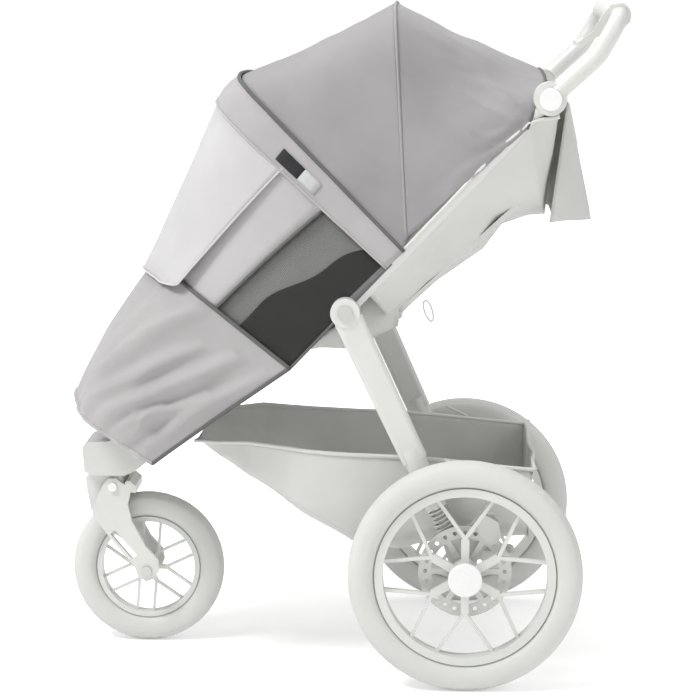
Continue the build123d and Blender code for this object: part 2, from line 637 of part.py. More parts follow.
CUSHION_HALF = 160.0
with BuildPart() as back_cushion:
    cushion = [(121, 642), (-76, 827), (-119, 956), (-96, 962), (-58, 842), (136, 660)]
    plate(cushion, -CUSHION_HALF, CUSHION_HALF)
    fillet(back_cushion.edges().filter_by(Axis.Y), 5.0)
save(back_cushion, "back_cushion")

with BuildPart() as seat_cushion:
    cushion = [(134, 612), (206, 577), (282, 581), (286, 597), (208, 597), (142, 634)]
    plate(cushion, -CUSHION_HALF, CUSHION_HALF)
    fillet(seat_cushion.edges().filter_by(Axis.Y), 4.0)
save(seat_cushion, "seat_cushion")

with BuildPart() as calf_panel:
    plate([(291, 606), (438, 517), (436, 513), (289, 602)], -118, 118)
save(calf_panel, "calf_panel")

with BuildPart() as straps:
    for low in (-72, 47):
        plate([(-52, 847), (138, 669), (140, 671), (-50, 849)], low, low + 25)
save(straps, "shoulder_straps")

with BuildPart() as crotch_strap:
    plate([(226, 599), (206, 648), (204, 647), (224, 599)], -14, 14)
save(crotch_strap, "crotch_strap")

with BuildPart() as buckle:
    plate([(200, 645), (208, 649), (192, 690), (184, 686)], -24, 24)
    fillet(buckle.edges().filter_by(lambda edge: edge.length < 10), 3.5)
save(buckle, "harness_buckle")

with BuildPart() as pull_loop:
    loop_plane = Plane(origin=at(66, 150, 630), x_dir=(1, 0, 0), z_dir=(0, -1, 0))
    with BuildSketch(loop_plane) as loop:
        with Locations((0, -6)):
            SlotOverall(44, 22, rotation=70)
        offset(amount=-2.5, mode=Mode.SUBTRACT)
    extrude(loop.sketch, amount=3)
save(pull_loop, "recline_pull_loop")

# ---------------------------------------------------------------- basket
BASKET_HALF = 212.0
with BuildPart() as basket:
    rim_points = [(478, 396), (380, 407), (250, 394), (100, 388), (-123, 366)]
    base_points = [(-118, 227), (-20, 217), (20, 217), (60, 206), (113, 197), (200, 211), (287, 269)]
    hollow_points = [
        (500, 405), (380, 500), (-120, 500), (-120, 365), (-115, 230), (-19, 220), (21, 220), (61, 209),
        (113, 200), (199, 214), (286, 272), (470, 394),
    ]
    plate(rim_points + base_points, -BASKET_HALF, BASKET_HALF)
    plate(hollow_points, -BASKET_HALF + FABRIC, BASKET_HALF - FABRIC, Mode.SUBTRACT)
save(basket, "basket")
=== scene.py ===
"""Looks of the jogging stroller: soft goods, trims, materials, floor, lights and camera, in metres."""
from math import cos, pi, sin

import bpy
import numpy as np
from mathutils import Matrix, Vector, noise


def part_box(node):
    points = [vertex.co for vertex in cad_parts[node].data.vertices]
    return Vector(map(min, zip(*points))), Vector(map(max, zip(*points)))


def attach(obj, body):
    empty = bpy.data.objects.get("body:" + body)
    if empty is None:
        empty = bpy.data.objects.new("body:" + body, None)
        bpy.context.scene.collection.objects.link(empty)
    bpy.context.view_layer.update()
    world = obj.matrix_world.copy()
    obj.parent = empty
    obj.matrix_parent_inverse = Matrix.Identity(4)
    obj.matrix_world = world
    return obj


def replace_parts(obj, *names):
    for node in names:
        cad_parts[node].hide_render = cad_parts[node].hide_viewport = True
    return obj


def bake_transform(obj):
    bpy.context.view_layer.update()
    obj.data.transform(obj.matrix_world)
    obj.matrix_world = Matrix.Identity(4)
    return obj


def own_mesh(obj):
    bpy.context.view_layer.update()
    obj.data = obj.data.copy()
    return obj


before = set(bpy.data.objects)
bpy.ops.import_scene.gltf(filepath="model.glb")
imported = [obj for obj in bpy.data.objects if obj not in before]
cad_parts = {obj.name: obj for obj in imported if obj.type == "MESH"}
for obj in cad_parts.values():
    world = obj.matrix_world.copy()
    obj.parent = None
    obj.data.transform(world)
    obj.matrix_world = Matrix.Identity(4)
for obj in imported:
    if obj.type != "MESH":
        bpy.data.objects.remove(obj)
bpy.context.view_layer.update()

MM = 0.001
THREAD_WAVES = 0.32  # a wave texture's scale times the thread's width
NET_CELL = 0.0022
wheel_low, wheel_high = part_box("rear_tyre_left")
REAR_AXLE_X = (wheel_low[0] + wheel_high[0]) / 2


def at(ahead, side, height):
    """Give the point that lies ahead of the rear axle, left of centre and above ground, from millimetres."""
    return Vector((REAR_AXLE_X + ahead * MM, side * MM, height * MM))


# ---------------------------------------------------------------- materials
def new_material(name, color, roughness, metallic=0.0, specular=0.5):
    """Make a material with its Principled shader set, and give its nodes, links and shader."""
    material = bpy.data.materials.new(name)
    material.use_nodes = True
    nodes, links = material.node_tree.nodes, material.node_tree.links
    shader = nodes["Principled BSDF"]
    shader.inputs["Base Color"].default_value = (*color, 1)
    shader.inputs["Roughness"].default_value = roughness
    shader.inputs["Metallic"].default_value = metallic
    shader.inputs["Specular IOR Level"].default_value = specular
    return material, nodes, links, shader


def mottle(nodes, links, shader, color, scale, spread):
    """Vary the base colour a little with large soft noise."""
    place = nodes.new("ShaderNodeTexCoord")
    cloud = nodes.new("ShaderNodeTexNoise")
    cloud.inputs["Scale"].default_value = scale
    cloud.inputs["Detail"].default_value = 5
    links.new(place.outputs["Object"], cloud.inputs["Vector"])
    ramp = nodes.new("ShaderNodeValToRGB")
    ramp.color_ramp.elements[0].position = 0.3
    ramp.color_ramp.elements[1].position = 0.7
    ramp.color_ramp.elements[0].color = (*(channel * (1 - spread) for channel in color), 1)
    ramp.color_ramp.elements[1].color = (*(min(channel * (1 + spread), 1) for channel in color), 1)
    links.new(cloud.outputs["Fac"], ramp.inputs["Fac"])
    links.new(ramp.outputs["Color"], shader.inputs["Base Color"])
    return place


def bump(nodes, links, shader, source, distance, strength=0.6):
    """Join a height source to the shader's normal."""
    relief = nodes.new("ShaderNodeBump")
    relief.inputs["Strength"].default_value = strength
    relief.inputs["Distance"].default_value = distance
    links.new(source, relief.inputs["Height"])
    links.new(relief.outputs["Normal"], shader.inputs["Normal"])


def woven(name, color, thread=0.0012, roughness=0.8, sheen=0.3, spread=0.05, fold=0.0):
    """Make a woven fabric: two crossed sets of threads, faint mottling and soft sheen."""
    material, nodes, links, shader = new_material(name, color, roughness, specular=0.25)
    place = mottle(nodes, links, shader, color, 9.0, spread)
    shader.inputs["Sheen Weight"].default_value = sheen
    shader.inputs["Sheen Roughness"].default_value = 0.5
    heights = []
    for direction in ("X", "Y"):
        wave = nodes.new("ShaderNodeTexWave")
        wave.bands_direction = direction
        wave.inputs["Scale"].default_value = THREAD_WAVES / thread
        wave.inputs["Distortion"].default_value = 0.4
        links.new(place.outputs["UV"], wave.inputs["Vector"])
        heights.append(wave.outputs["Fac"])
    weave = nodes.new("ShaderNodeMath")
    weave.operation = "MULTIPLY"
    links.new(heights[0], weave.inputs[0])
    links.new(heights[1], weave.inputs[1])
    crease = nodes.new("ShaderNodeTexNoise")
    crease.inputs["Scale"].default_value = 16
    crease.inputs["Detail"].default_value = 3
    links.new(place.outputs["Object"], crease.inputs["Vector"])
    both = nodes.new("ShaderNodeMath")
    both.operation = "MULTIPLY_ADD"
    both.inputs[1].default_value = 2.0 + fold
    links.new(crease.outputs["Fac"], both.inputs[0])
    links.new(weave.outputs[0], both.inputs[2])
    bump(nodes, links, shader, both.outputs[0], thread * 0.6, 0.5)
    return material


def moulded(name, color, roughness=0.5, grain=320.0, depth=0.0002, metallic=0.0, coat=0.0):
    """Make moulded plastic, rubber or painted metal with a fine grain."""
    material, nodes, links, shader = new_material(name, color, roughness, metallic)
    place = mottle(nodes, links, shader, color, 6.0, 0.03)
    shader.inputs["Coat Weight"].default_value = coat
    shader.inputs["Coat Roughness"].default_value = 0.2
    speck = nodes.new("ShaderNodeTexNoise")
    speck.inputs["Scale"].default_value = grain
    speck.inputs["Detail"].default_value = 3
    links.new(place.outputs["Object"], speck.inputs["Vector"])
    bump(nodes, links, shader, speck.outputs["Fac"], depth, 0.5)
    worn = nodes.new("ShaderNodeMapRange")
    worn.inputs["To Min"].default_value = max(roughness - 0.08, 0.05)
    worn.inputs["To Max"].default_value = min(roughness + 0.1, 1)
    links.new(speck.outputs["Fac"], worn.inputs["Value"])
    links.new(worn.outputs["Result"], shader.inputs["Roughness"])
    return material


def netting(name, color, cover):
    """Make a fine see-through net of crossed threads."""
    material, nodes, links, shader = new_material(name, color, 0.7, specular=0.2)
    place = nodes.new("ShaderNodeTexCoord")
    lines = []
    for direction in ("X", "Y"):
        wave = nodes.new("ShaderNodeTexWave")
        wave.bands_direction = direction
        wave.inputs["Scale"].default_value = THREAD_WAVES / NET_CELL
        links.new(place.outputs["UV"], wave.inputs["Vector"])
        lines.append(wave.outputs["Fac"])
    most = nodes.new("ShaderNodeMath")
    most.operation = "MAXIMUM"
    links.new(lines[0], most.inputs[0])
    links.new(lines[1], most.inputs[1])
    veil = nodes.new("ShaderNodeMapRange")
    veil.inputs["From Min"].default_value = 0.35
    veil.inputs["From Max"].default_value = 0.75
    veil.inputs["To Min"].default_value = cover - 0.3
    veil.inputs["To Max"].default_value = min(cover + 0.2, 1)
    links.new(most.outputs[0], veil.inputs["Value"])
    links.new(veil.outputs["Result"], shader.inputs["Alpha"])
    bump(nodes, links, shader, most.outputs[0], 0.0004, 0.4)
    return material


# One grey cover fabric in five tones: the canopy's darker tone is painted shade on its side, and the lighter
# lip, boot, panel and flap tones are painted light on the faces turned to the front.
CANOPY = woven("canopy_weave_shaded", (0.335, 0.325, 0.327), fold=1.5)
BOOT = woven("boot_weave", (0.43, 0.412, 0.417), roughness=0.5, sheen=0.4, fold=2.5)
LIP = woven("lip_weave", (0.44, 0.425, 0.43), fold=1.0)
FLAP = woven("flap_weave_lit", (0.57, 0.56, 0.565), fold=1.5)
PANEL = woven("panel_weave", (0.50, 0.485, 0.49), fold=1.0)
PIPING = woven("piping_weave", (0.125, 0.128, 0.125), thread=0.0009, sheen=0.1)
SHELL = woven("shell_weave", (0.69, 0.695, 0.665), thread=0.0018, sheen=0.2, spread=0.04)
LINER = woven("liner_weave", (0.035, 0.035, 0.032), thread=0.0016, sheen=0.15)
WEBBING = woven("webbing_weave", (0.08, 0.08, 0.078), thread=0.002, sheen=0.1)
NET = netting("window_net", (0.06, 0.061, 0.057), cover=0.27)
SCREEN = woven("screen_weave", (0.78, 0.785, 0.76), thread=0.0010, sheen=0.1)
LABEL_DARK = woven("label_dark_weave", (0.03, 0.03, 0.032), thread=0.0008, sheen=0.1)
LABEL_PALE = woven("label_pale_weave", (0.55, 0.56, 0.56), thread=0.0008, sheen=0.1)
PAINT = moulded("pale_paint", (0.69, 0.695, 0.665), 0.38, grain=500, depth=0.00008, coat=0.2)
PLASTIC = moulded("pale_plastic", (0.68, 0.685, 0.655), 0.55)
RUBBER = moulded("pale_rubber", (0.66, 0.665, 0.635), 0.8, grain=180, depth=0.0004)
WHITE = moulded("white_gloss", (0.86, 0.865, 0.85), 0.25, grain=600, depth=0.00004, coat=0.5)
STEEL = moulded("brushed_steel", (0.62, 0.62, 0.60), 0.4, grain=700, depth=0.00008, metallic=0.6)
LEATHER = moulded("grip_leather", (0.69, 0.695, 0.665), 0.65, grain=260, depth=0.0006)

CAD_LOOKS = {
    PAINT: (
        "front_tube_left", "front_tube_right", "upper_tube_left", "upper_tube_right", "upper_cross_tube",
        "seat_cross_tube", "rear_leg_left", "rear_leg_right", "rear_strut_left", "rear_strut_right",
        "rear_axle_tube", "handlebar", "front_fork", "canopy_mid_bow", "canopy_front_bow",
        "rear_rim_left", "rear_rim_right", "front_rim",
    ),
    PLASTIC: (
        "front_crown", "footrest", "handle_housing_left", "handle_housing_right", "brake_lever_clamp",
        "brake_lever", "parking_brake_pedal", "swivel_head", "swivel_lock_knob", "backrest_board",
        "harness_buckle",
    ),
    WHITE: ("hub_cap_left", "hub_cap_right", "handle_button_left", "handle_button_right", "fork_bolt"),
    STEEL: ("hinge_pins", "front_axle", "brake_rotor_left", "brake_rotor_right", "brake_calipers"),
    RUBBER: ("brake_cables",),
    LEATHER: ("handle_grip",),
}


def dress_cad_nodes():
    """Give each CAD node that stays in sight its material."""
    for material, names in CAD_LOOKS.items():
        for name in names:
            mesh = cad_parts[name].data
            mesh.materials.clear()
            mesh.materials.append(material)


# ---------------------------------------------------------------- mesh helpers
def finish_piece(mesh, name, material, body):
    """Put a mesh in the scene as a piece that rides on a body, or on none."""
    mesh.materials.append(material)
    mesh.shade_smooth()
    piece = bpy.data.objects.new(name, mesh)
    bpy.context.scene.collection.objects.link(piece)
    if body:
        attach(piece, body)
    return piece


def grid_mesh(name, outer, inner, keep=None):
    """Make a closed sheet from two grids of points, keeping the cells that keep(row, column) picks."""
    rows, columns = outer.shape[:2]
    made = {}
    points, faces, spots = [], [], []

    def index(layer, row, column):
        """Give the number of a corner's point, which is added the first time."""
        key = (layer, row, column)
        if key not in made:
            made[key] = len(points)
            points.append(tuple((outer, inner)[layer][row, column]))
            spots.append((row, column))
        return made[key]

    chosen = {
        (row, column)
        for row in range(rows - 1) for column in range(columns - 1)
        if keep is None or keep(row / (rows - 1), column / (columns - 1))
    }
    for row, column in sorted(chosen):
        ring = [(row, column), (row, column + 1), (row + 1, column + 1), (row + 1, column)]
        faces.append([index(0, *corner) for corner in ring])
        faces.append([index(1, *corner) for corner in reversed(ring)])
        sides = [(row - 1, column), (row, column + 1), (row + 1, column), (row, column - 1)]
        for number, side in enumerate(sides):
            if side not in chosen:
                first, second = ring[number], ring[(number + 1) % 4]
                faces.append([index(0, *second), index(0, *first), index(1, *first), index(1, *second)])
    mesh = bpy.data.meshes.new(name)
    mesh.from_pydata(points, [], faces)
    across = np.linalg.norm(np.diff(outer, axis=1), axis=2).mean() if columns > 1 else 0.01
    down = np.linalg.norm(np.diff(outer, axis=0), axis=2).mean() if rows > 1 else 0.01
    layer = mesh.uv_layers.new(name="weave")
    for loop in mesh.loops:
        row, column = spots[loop.vertex_index]
        layer.data[loop.index].uv = (column * across, row * down)
    mesh.update()
    return mesh


def normals_of(grid):
    """Give the unit normals of a grid of points."""
    down = np.gradient(grid, axis=0)
    across = np.gradient(grid, axis=1)
    normal = np.cross(across, down)
    size = np.linalg.norm(normal, axis=2, keepdims=True)
    return normal / np.maximum(size, 1e-9)


def reach_along(line):
    """Give how far along a line of points each of its points lies."""
    return np.concatenate([[0], np.cumsum(np.linalg.norm(np.diff(line, axis=0), axis=1))])


def sampled(line, reach, spots):
    """Give the points that lie at some distances along a line."""
    return np.stack([np.interp(spots, reach, line[:, axis]) for axis in range(3)], axis=1)


def rib(low, corner, crest, turn=0.3, count=30):
    """Give the points of an arch, left foot to right foot, with a rounded corner on each side.

    low, corner and crest are (ahead, side, height) in millimetres: foot, corner and middle.
    """
    foot, knee, top = (at(*place) for place in (low, corner, crest))
    before = knee.lerp(foot, turn)
    after = knee.lerp(top, min(turn * 1.6, 0.8))
    half = []
    dense = 200
    for step in range(dense + 1):
        share = step / dense
        if share < 0.4:
            half.append(foot.lerp(before, share / 0.4))
        elif share < 0.7:
            bend = (share - 0.4) / 0.3
            half.append(before.lerp(knee, bend).lerp(knee.lerp(after, bend), bend))
        else:
            out = (share - 0.7) / 0.3
            rise = Vector((after.x, after.y * (1 - out), after.z))
            ease = sin(out * pi / 2)
            rise.x = after.x + (top.x - after.x) * ease
            rise.z = after.z + (top.z - after.z) * ease
            half.append(rise)
    line = np.array(half)
    reach = reach_along(line)
    left = sampled(line, reach, np.linspace(0, reach[-1], count + 1))
    right = left[:-1][::-1] * np.array([1, -1, 1])
    return np.concatenate([left, right])


def loft(ribs, steps):
    """Join arches with straight rulings, with so many steps between each pair."""
    rows = []
    for first, second, count in zip(ribs, ribs[1:], steps):
        for step in range(count):
            rows.append(first + (second - first) * step / count)
    rows.append(ribs[-1])
    return np.array(rows)


def outward(grid, middle):
    """Give a grid's normals, all pointing away from a point inside it."""
    normal = normals_of(grid)
    aside = grid - np.array(middle)
    if (normal * aside).sum(axis=2).mean() < 0:
        normal = -normal
    return normal


def ripples(grid, height, size, stretch=(1, 1, 1), seed=0.0):
    """Give a soft uneven relief over a grid, in metres."""
    rise = np.zeros(grid.shape[:2])
    for row in range(grid.shape[0]):
        for column in range(grid.shape[1]):
            spot = Vector(grid[row, column]) / size
            spot = Vector((spot.x * stretch[0] + seed, spot.y * stretch[1], spot.z * stretch[2]))
            rise[row, column] = noise.noise(spot) * height
    return rise


def folds(grid, height, size, run, seed=0.0):
    """Give long soft ridges over a grid, in metres, that run along one direction of the side view."""
    run = Vector(run).normalized()
    across = Vector((-run.z, 0, run.x))
    rise = np.zeros(grid.shape[:2])
    for row in range(grid.shape[0]):
        for column in range(grid.shape[1]):
            place = Vector(grid[row, column])
            spot = Vector((
                place.dot(across) / size, place.dot(run) / (4 * size), place.y / (3 * size) + seed,
            ))
            ridge = max(0.0, 1 - abs(noise.noise(spot)) * 2.6)
            rise[row, column] = height * ridge * ridge
    return rise


def respaced(grid, edge):
    """Slide a grid's columns along its arches, so that a fifth of them lies outside edge(down) on each side."""
    rows, columns = grid.shape[:2]
    moved = np.zeros_like(grid)
    even = np.linspace(0, 1, columns)
    for row in range(rows):
        line = grid[row]
        reach = reach_along(line)
        bound = edge(row / (rows - 1))
        spots = np.interp(even, [0, SIDE_SHARE, 1 - SIDE_SHARE, 1], [0, bound, 1 - bound, 1]) * reach[-1]
        moved[row] = sampled(line, reach, spots)
    return moved


def refined(grid, columns):
    """Sample a grid's arches again with more columns, evenly along each arch."""
    lines = []
    for line in grid:
        reach = reach_along(line)
        lines.append(sampled(line, reach, np.linspace(0, reach[-1], columns)))
    return np.array(lines)


def creases(shape, lines):
    """Give a relief of pulled folds, in metres, mirrored on the two sides.

    Each line is (start down, start across, end down, end across, height, width), with shares of the grid.
    """
    down = np.linspace(0, 1, shape[0])[:, None]
    across = np.linspace(0, 1, shape[1])[None, :]
    rise = np.zeros(shape)
    for number, (start_down, start_across, end_down, end_across, height, width) in enumerate(lines):
        share = np.clip((down - start_down) / (end_down - start_down), 0, 1)
        centre = start_across + (end_across - start_across) * share + 0.006 * np.sin(7 * share + number)
        body = np.sin(pi * np.clip(share * 0.9 + 0.06, 0, 1)) ** 0.8
        body = body * (share > 0) * (share < 1)
        spread = width * (0.7 + 0.6 * share)
        for place in (across, 1 - across - 0.008 * np.sin(5 * down + number)):
            offset = (place - centre) / spread
            rise += height * body * np.exp(-offset ** 2) * (1 - 0.9 * offset)
    return rise


def cloth_sheet(name, grid, middle, thickness, relief, material, body, keep=None):
    """Make a sheet of fabric on a grid, with a relief along its normal."""
    normal = outward(grid, middle)
    outer = grid + normal * relief[..., None]
    inner = outer - normal * thickness
    mesh = grid_mesh(name, outer, inner, keep)
    return finish_piece(mesh, name, material, body), outer


def tube(name, line, radius, material, body, sides=8, closed=False):
    """Make a round trim along a line of points."""
    line = [Vector(point) for point in line]
    count = len(line)
    points, faces = [], []
    side = None
    for number, place in enumerate(line):
        ahead = line[(number + 1) % count if closed else min(number + 1, count - 1)]
        behind = line[(number - 1) % count if closed else max(number - 1, 0)]
        heading = (ahead - behind).normalized()
        if side is None:
            side = heading.orthogonal().normalized()
        side = (side - heading * side.dot(heading)).normalized()
        other = heading.cross(side)
        for turn in range(sides):
            angle = 2 * pi * turn / sides
            points.append(place + (side * cos(angle) + other * sin(angle)) * radius)
    for number in range(count if closed else count - 1):
        following = (number + 1) % count
        for turn in range(sides):
            beside = (turn + 1) % sides
            faces.append([
                number * sides + turn, number * sides + beside,
                following * sides + beside, following * sides + turn,
            ])
    if not closed:
        faces.append(list(range(sides))[::-1])
        faces.append([(count - 1) * sides + turn for turn in range(sides)])
    mesh = bpy.data.meshes.new(name)
    mesh.from_pydata(points, [], faces)
    mesh.update()
    return finish_piece(mesh, name, material, body)


# ---------------------------------------------------------------- canopy
MID_KNEE = (125, 192, 1154)
REAR_HEM = ((-110, 250, 980), (-131, 236, 1036), (-132, 0, 1038))
CABIN = at(120, 0, 850)


def canopy():
    """Make the canopy's two panels and its piping."""
    mid = rib((103, 258, 772), MID_KNEE, (127, 0, 1161), 0.24)
    front = rib((106, 258, 752), (386, 192, 1030), (396, 0, 1034), 0.24)
    rear = rib((-98, 258, 956), (-130, 236, 1038), (-131, 0, 1040), 0.30)
    front_grid = refined(loft([mid, front], [34]), 101)
    rear_grid = refined(loft([mid, rear], [34]), 101)
    for name, node, grid, body_a, body_b, start, end in (
        ("canopy_front_skin", "canopy_front_panel", front_grid,
         "mid_bow", "front_bow", at(150, 0, 1130), at(372, 0, 1030)),
        ("canopy_rear_skin", "canopy_rear_panel", rear_grid,
         "upper_frame", "mid_bow", at(-110, 0, 1030), at(100, 0, 1130)),
    ):
        rows, columns = grid.shape[:2]
        u = np.linspace(0, 1, rows)[:, None]
        v = np.linspace(0, 1, columns)[None, :]
        sag = -0.007 * np.sin(pi * u) * (0.5 + 0.5 * np.sin(pi * v))
        relief = sag + ripples(grid, 0.0035, 0.11, (1.6, 0.6, 1.0), seed=3.0) * np.sin(pi * u) ** 0.5
        corner = np.array(at(-98, 0, 956))
        near = np.exp(-(((grid - corner)[..., [0, 2]]) ** 2).sum(axis=2) / 0.16 ** 2)
        relief += folds(grid, 0.006, 0.035, (0.86, 0, 0.5), seed=4.0) * (0.25 + near) * np.sin(pi * u) ** 0.6
        if name == "canopy_rear_skin":
            relief += creases(grid.shape[:2], CANOPY_FOLDS)
        skin, outer = cloth_sheet(name, grid, CABIN, 0.0016, relief, CANOPY, None)
        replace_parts(skin, node)
        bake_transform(skin)
    tube("canopy_mid_piping", mid, 0.0022, CANOPY, "mid_bow", 8)
    tube("canopy_rear_piping", rear, 0.0024, PIPING, "upper_frame", 8)


# ---------------------------------------------------------------- weather cover
LIP_START = rib((106, 261, 750), (390, 194, 1032), (401, 0, 1036), 0.24, 45)
LIP_END = rib((136, 264, 722), (424, 196, 978), (442, 0, 992), 0.26, 45)
PANEL_START = rib((128, 260, 730), (412, 190, 982), (432, 0, 994), 0.24)
PANEL_END = rib((300, 250, 548), (496, 182, 690), (557, 0, 702), 0.30)
BOOT_MID = rib((424, 232, 460), (594, 176, 574), (640, 0, 586), 0.28)
BOOT_END = rib((546, 212, 372), (684, 160, 446), (711, 0, 468), 0.30)
COVER_INSIDE = at(330, 0, 700)
BOOT_FOLDS = (
    (0.04, 0.225, 0.97, 0.335, 0.019, 0.032), (0.20, 0.150, 0.99, 0.285, 0.014, 0.026),
    (0.12, 0.085, 0.99, 0.210, 0.019, 0.028), (0.40, 0.060, 0.99, 0.150, 0.013, 0.022),
    (0.10, 0.030, 0.92, 0.055, 0.011, 0.020), (0.06, 0.330, 0.60, 0.370, 0.006, 0.030),
    (0.62, 0.110, 0.99, 0.105, 0.008, 0.016),
)
CANOPY_FOLDS = (
    (0.98, 0.04, 0.45, 0.10, 0.006, 0.020), (0.98, 0.05, 0.55, 0.16, 0.007, 0.024),
    (0.99, 0.07, 0.60, 0.22, 0.006, 0.024), (0.97, 0.02, 0.30, 0.035, 0.005, 0.016),
)
SIDE_SHARE = 0.2
WINDOW_TOP = 0.03


def in_window(down, across):
    """Tell whether a spot of the cover's respaced side lies in one of its two windows."""
    return down > WINDOW_TOP and min(across, 1 - across) < SIDE_SHARE - 0.002


def window_edge(down):
    """Give how far round the cover a window reaches, as a share of the arch."""
    return 0.13 + 0.065 * down


def shade_edge(down):
    """Give how far round the cover the dark sheet behind a window reaches; it stands for the dark seat and,
    partly, painted shade inside the cover.
    """
    return 0.03 + 0.115 * down ** 0.8 + 0.006 * sin(11 * down)


def crumple(piece):
    """Give a soft piece that rides on the chassis a mesh of its own."""
    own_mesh(piece)


def weather_cover():
    """Make the cover: lip band, light panel, net windows, boot, flap, piping and labels."""
    lip_grid = loft([LIP_START, LIP_END], [12])
    rows, columns = lip_grid.shape[:2]
    u = np.linspace(0, 1, rows)[:, None]
    lip_relief = 0.006 * np.sin(pi * u) + ripples(lip_grid, 0.0025, 0.045, seed=1.0)
    lip, lip_outer = cloth_sheet(
        "cover_lip", lip_grid, COVER_INSIDE, 0.002, lip_relief, LIP, "chassis",
    )
    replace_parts(lip, "weather_cover")
    crumple(lip)

    plain_grid = loft([PANEL_START, PANEL_END], [36])
    side_grid = respaced(plain_grid, window_edge)
    side_relief = ripples(side_grid, 0.004, 0.16, (1.0, 0.5, 1.0), seed=7.0)
    panel, side_outer = cloth_sheet(
        "cover_panel", side_grid, COVER_INSIDE, 0.0016, side_relief, PANEL, "chassis",
        keep=lambda down, across: not in_window(down, across),
    )
    crumple(panel)
    net, _ = cloth_sheet(
        "cover_windows", side_grid, COVER_INSIDE, 0.0006, side_relief - 0.0005, NET, "chassis",
        keep=in_window,
    )
    crumple(net)
    # A dark sheet behind the net: it stands for the dark seat seen through the window, and in part it is
    # painted shade inside the cover.
    shade_grid = respaced(plain_grid, shade_edge)
    shade, _ = cloth_sheet(
        "window_dark_seat_and_shade", shade_grid, COVER_INSIDE, 0.001, ripples(shade_grid, 0.002, 0.05) - 0.008,
        LINER, "chassis", keep=in_window,
    )
    crumple(shade)
    screen, _ = cloth_sheet(
        "window_screen", side_grid, COVER_INSIDE, 0.001, side_relief - 0.010, SCREEN, "chassis",
        keep=in_window,
    )
    crumple(screen)

    boot_grid = refined(loft([PANEL_END, BOOT_MID, BOOT_END], [34, 34]), 121)
    rows, columns = boot_grid.shape[:2]
    u = np.linspace(0, 1, rows)[:, None]
    v = np.linspace(0, 1, columns)[None, :]
    aside = np.abs(2 * v - 1)
    boot_relief = ripples(boot_grid, 0.006, 0.13, (1.6, 0.8, 0.7), seed=2.0) * np.sin(pi * u * 0.92) ** 0.6
    boot_relief += creases(boot_grid.shape[:2], BOOT_FOLDS)
    boot_relief += folds(boot_grid, 0.005, 0.03, (-0.9, 0, 0.42), seed=8.0) * u * aside * (1 - aside ** 10)
    boot_relief += 0.003 * np.sin(90 * v + 4 * u) * u ** 8 * aside
    boot_relief += 0.002 - 0.010 * u ** 6
    boot, boot_outer = cloth_sheet(
        "cover_boot", boot_grid, COVER_INSIDE, 0.002, boot_relief, BOOT, "chassis",
    )
    crumple(boot)

    trims = {
        "cover_top_piping": (lip_outer[0], 0.0034), "cover_lip_hem": (lip_outer[-1], 0.0024),
        "cover_boot_piping": (boot_outer[0], 0.0034), "cover_boot_hem": (boot_outer[-1], 0.0036),
        "cover_edge_left": (boot_outer[:, 0], 0.0034), "cover_edge_right": (boot_outer[:, -1], 0.0034),
        "cover_side_left": (side_outer[:, 0], 0.0026), "cover_side_right": (side_outer[:, -1], 0.0026),
    }
    edge = round(SIDE_SHARE * (side_outer.shape[1] - 1))
    top = round(WINDOW_TOP * (side_outer.shape[0] - 1)) + 1
    trims["window_frame_left"] = (side_outer[top:, edge], 0.0024)
    trims["window_frame_right"] = (side_outer[top:, side_outer.shape[1] - 1 - edge], 0.0024)
    for name, (line, radius) in trims.items():
        crumple(tube(name, line, radius, PIPING if "hem" not in name else BOOT, "chassis"))
    sun_flap()
    labels(lip_outer)


def sun_flap():
    """Make the light flap that hangs from the lip over the front of the cover."""
    beyond = PANEL_END + (PANEL_END - PANEL_START) * 0.06
    grid = loft([PANEL_START, PANEL_END, beyond], [28, 3])
    rows, columns = grid.shape[:2]
    normal = outward(grid, COVER_INSIDE)
    across_count = 61
    outer = np.zeros((rows, across_count, 3))
    for row in range(rows):
        down = row / (rows - 1)
        side = 0.22 + 0.065 * down + 0.05 * max(0.0, (down - 0.88) / 0.12) ** 3
        for column in range(across_count):
            across = side + (1 - 2 * side) * column / (across_count - 1)
            spot = across * (columns - 1)
            low = int(spot)
            share = spot - low
            high = min(low + 1, columns - 1)
            place = grid[row, low] * (1 - share) + grid[row, high] * share
            away = normal[row, low] * (1 - share) + normal[row, high] * share
            edge = abs(2 * column / (across_count - 1) - 1)
            lift = 0.005 + 0.011 * down + 0.005 * edge ** 4 * down
            outer[row, column] = place + away * lift
    relief = ripples(outer, 0.003, 0.12, (1, 0.6, 1), seed=5.0)
    skin, made = cloth_sheet(
        "sun_flap_skin", outer, COVER_INSIDE, 0.0016, relief, FLAP, "chassis",
    )
    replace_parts(skin, "sun_flap")
    crumple(skin)
    outline = list(made[:, 0]) + list(made[-1, 1:]) + list(made[::-1, -1])
    crumple(tube("sun_flap_binding", outline, 0.0018, FLAP, "chassis"))


def labels(lip_outer):
    """Sew two blank labels on the near side of the lip band."""
    for name, material, first, last in (
        ("lip_label_dark", LABEL_DARK, 17, 21), ("lip_label_pale", LABEL_PALE, 14, 17),
    ):
        patch = lip_outer[5:11, first:last + 1]
        normal = outward(lip_outer, COVER_INSIDE)[5:11, first:last + 1]
        mesh = grid_mesh(name, patch + normal * 0.0022, patch + normal * 0.0004)
        crumple(finish_piece(mesh, name, material, "chassis"))


# ---------------------------------------------------------------- seat and basket
TUB_INSIDE = at(-10, 0, 830)


